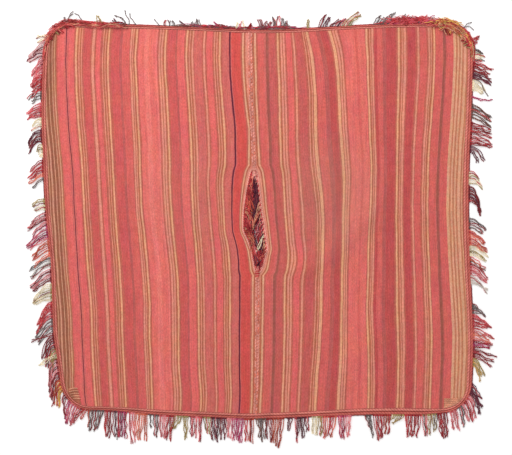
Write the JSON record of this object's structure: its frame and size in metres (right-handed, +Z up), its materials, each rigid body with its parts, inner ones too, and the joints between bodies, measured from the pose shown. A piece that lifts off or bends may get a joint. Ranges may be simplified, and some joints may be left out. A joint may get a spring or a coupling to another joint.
{
  "type": "andean poncho",
  "caption": "Flat-laid striped woven poncho of joined panels with a central neck slit, a tubular bound edge with rounded corners and a twisted fringe all round.",
  "frame": {"origin": "on the surface it lies on, under the middle of the whole outline, fringe included", "axes": "+Z up out of the cloth, +Y towards the upper edge along the stripes, +X to the right across both panels"},
  "size_m": [1.3706, 1.2668, 0.0085],
  "materials": {
    "striped_cloth": "matt warp-faced wool in red, coral, tan and brown stripes",
    "edge_binding": "matt ribbed tubular wool band",
    "stitch_yarn": "matt twisted wool yarn",
    "corner_patch": "matt woven wool",
    "fringe_yarn": "matt twisted wool yarn in many dyed colours"
  },
  "bodies": {
    "root": {"panel_left": "striped_cloth", "panel_right": "striped_cloth", "binding_top_left": "edge_binding", "binding_top_right": "edge_binding", "binding_side_left": "edge_binding", "binding_side_right": "edge_binding", "binding_bottom_left": "edge_binding", "binding_bottom_right": "edge_binding", "neck_cord_left": "stitch_yarn", "neck_cord_right": "stitch_yarn", "seam_stitch_upper": "stitch_yarn", "seam_stitch_lower": "stitch_yarn", "neck_tack_upper": "stitch_yarn", "neck_tack_lower": "stitch_yarn", "corner_patch_left": "corner_patch", "corner_patch_right": "corner_patch", "fringe_side_left": "fringe_yarn", "fringe_side_right": "fringe_yarn", "fringe_corner_left": "fringe_yarn", "fringe_corner_right": "fringe_yarn", "fringe_bottom_left": "fringe_yarn", "fringe_bottom_right": "fringe_yarn", "fringe_top_left": "fringe_yarn", "fringe_top_right": "fringe_yarn", "fringe_turned_left": "fringe_yarn", "fringe_turned_right": "fringe_yarn", "neck_fringe_left": "fringe_yarn", "neck_fringe_right": "fringe_yarn"}
  },
  "joints": []
}
